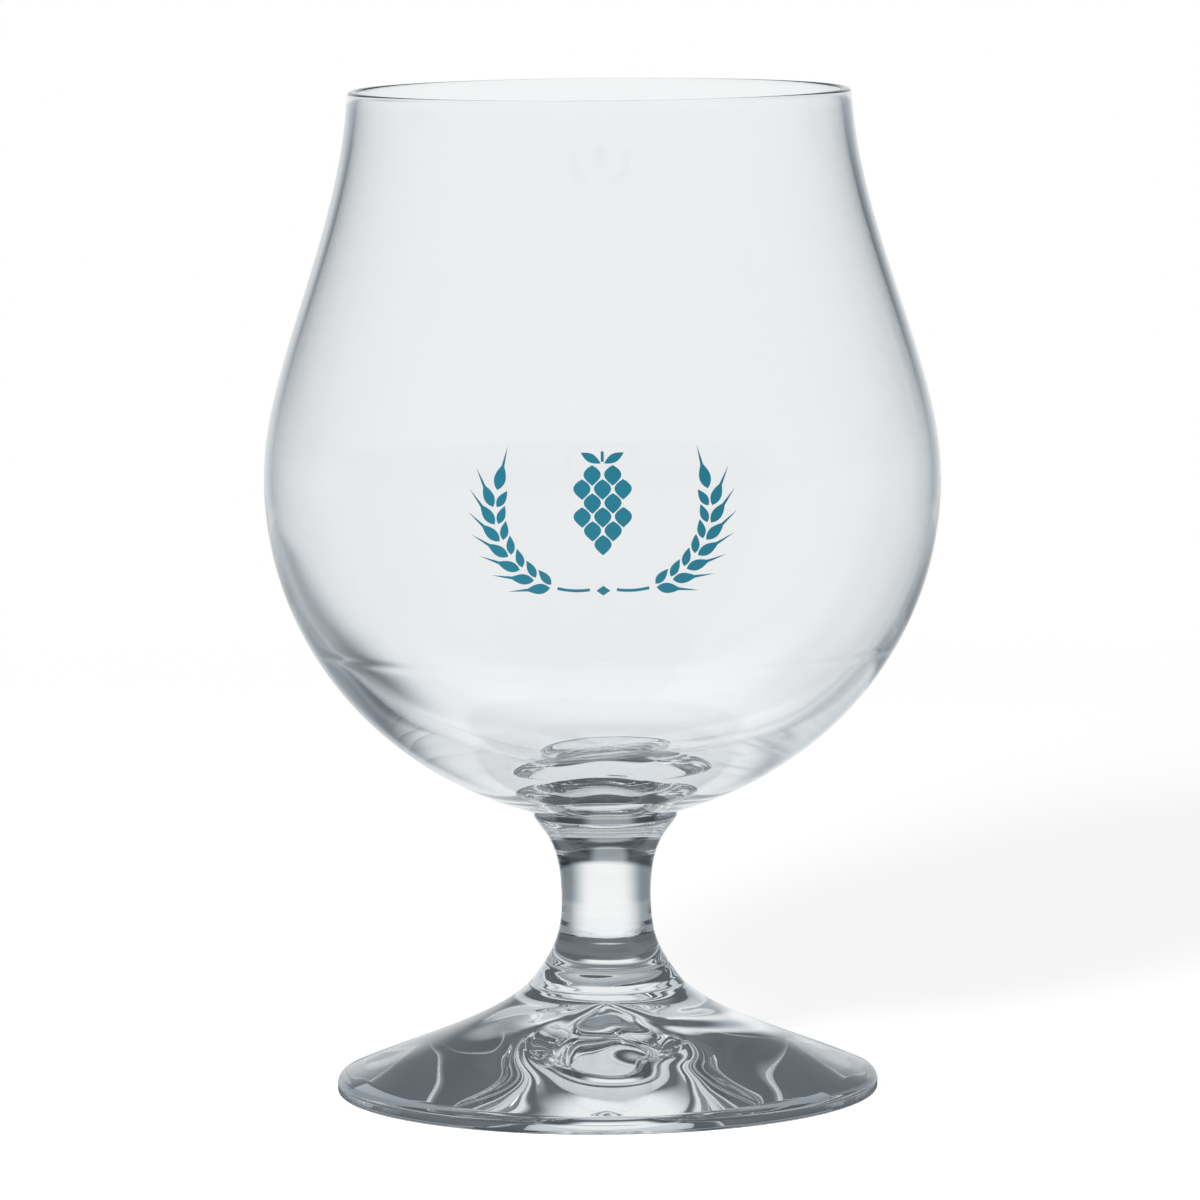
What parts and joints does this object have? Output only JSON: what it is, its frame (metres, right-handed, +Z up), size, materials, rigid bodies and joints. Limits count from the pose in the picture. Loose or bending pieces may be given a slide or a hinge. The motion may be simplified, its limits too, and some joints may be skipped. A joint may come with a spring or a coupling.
{
  "type": "beer glass",
  "caption": "Stemmed tulip beer glass: round bowl drawn in to a rounded rim, short solid stem, wide domed foot, small teal wreath printed on the front.",
  "frame": {"origin": "centre of the flat ring under the foot, on the surface the glass stands on", "axes": "+Z up along the glass's axis, from the foot to the rim; -Y is the front, which carries the print; +X is to the right seen from the front"},
  "size_m": [0.0996, 0.0997, 0.148],
  "materials": {
    "clear_glass": "fire-polished clear soda-lime glass",
    "fired_ink": "opaque teal ceramic ink, satin"
  },
  "bodies": {
    "root": {"foot": "clear_glass", "stem": "clear_glass", "bowl": "clear_glass", "barley_left": "fired_ink", "barley_right": "fired_ink", "hop_cone": "fired_ink", "lozenge": "fired_ink"}
  },
  "joints": []
}
